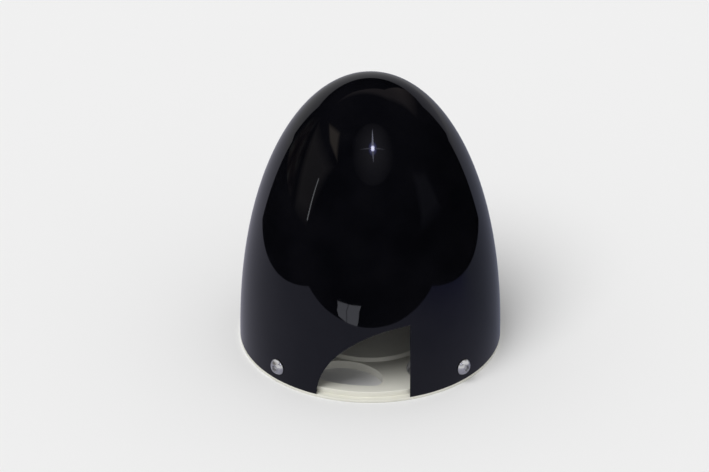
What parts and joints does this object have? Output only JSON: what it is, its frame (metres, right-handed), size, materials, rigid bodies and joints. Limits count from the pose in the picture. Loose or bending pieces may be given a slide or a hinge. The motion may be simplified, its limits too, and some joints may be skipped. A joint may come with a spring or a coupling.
{
  "type": "propeller spinner",
  "caption": "Hollow pointed dome with blade cut-outs, seated on a vented round backplate with a shaft bore and held by radial button-head screws; streamlines a propeller hub.",
  "frame": {"origin": "centre of the backplate's underside, on the shaft's axis", "axes": "+Z along the shaft towards the nose, -Y towards the front blade cut-out, +X to its right"},
  "size_m": [0.0888, 0.0888, 0.0998],
  "materials": {
    "dome_plastic": "high gloss, near-black",
    "backplate_plastic": "satin, pale ivory",
    "screw_steel": "turned steel, lightly polished"
  },
  "bodies": {
    "root": {"spinner_dome": "dome_plastic", "backplate": "backplate_plastic", "screw_front_right": "screw_steel", "screw_rear_right": "screw_steel", "screw_rear_left": "screw_steel", "screw_front_left": "screw_steel"}
  },
  "joints": []
}
